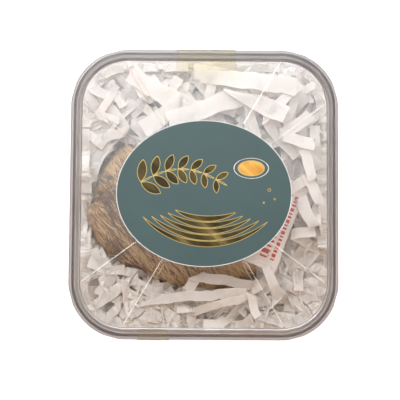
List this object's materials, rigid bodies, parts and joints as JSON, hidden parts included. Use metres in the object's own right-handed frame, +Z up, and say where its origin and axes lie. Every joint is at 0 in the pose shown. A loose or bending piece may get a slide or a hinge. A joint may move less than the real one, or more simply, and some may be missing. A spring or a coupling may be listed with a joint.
{
  "type": "boxed edible bird's nest",
  "caption": "Edible swiftlet nest, a half-cup of hardened strands, lying on shredded paper in a clear lidded gift box with an oval label and a desiccant sachet.",
  "frame": {"origin": "middle of the box's underside, on the surface that it rests on", "axes": "+Z up through the lid, +X the box's right as the label is read, -Y the box's front; the box is longest along Y"},
  "size_m": [0.15, 0.163, 0.0465],
  "materials": {
    "clear_plastic": "clear, glossy",
    "clear_tape": "clear, faintly yellow",
    "label_foil": "satin teal print with gold foil",
    "nest_fibre": "dry translucent strands, beige to brown, with dark flecks",
    "white_paper": "matt, warm white",
    "packet_paper": "smooth white packet with red print"
  },
  "bodies": {
    "root": {"box_tray": "clear_plastic", "desiccant_sachet": "packet_paper", "label": "label_foil", "lid": "clear_plastic", "nest": "nest_fibre", "paper_bed": "white_paper", "paper_strip_01": "white_paper", "paper_strip_02": "white_paper", "paper_strip_03": "white_paper", "paper_strip_04": "white_paper", "paper_strip_05": "white_paper", "paper_strip_06": "white_paper", "paper_strip_07": "white_paper", "paper_strip_08": "white_paper", "paper_strip_09": "white_paper", "paper_strip_10": "white_paper", "paper_strip_11": "white_paper", "paper_strip_12": "white_paper", "paper_strip_13": "white_paper", "paper_strip_14": "white_paper", "paper_strip_15": "white_paper", "paper_strip_16": "white_paper", "paper_strip_17": "white_paper", "paper_strip_18": "white_paper", "paper_strip_19": "white_paper", "paper_strip_20": "white_paper", "paper_strip_21": "white_paper", "paper_strip_22": "white_paper", "paper_strip_23": "white_paper", "paper_strip_24": "white_paper", "paper_strip_25": "white_paper", "paper_strip_26": "white_paper", "paper_strip_27": "white_paper", "paper_strip_28": "white_paper", "paper_strip_29": "white_paper", "paper_strip_30": "white_paper", "seal_tape_back": "clear_tape", "seal_tape_front": "clear_tape"}
  },
  "joints": []
}
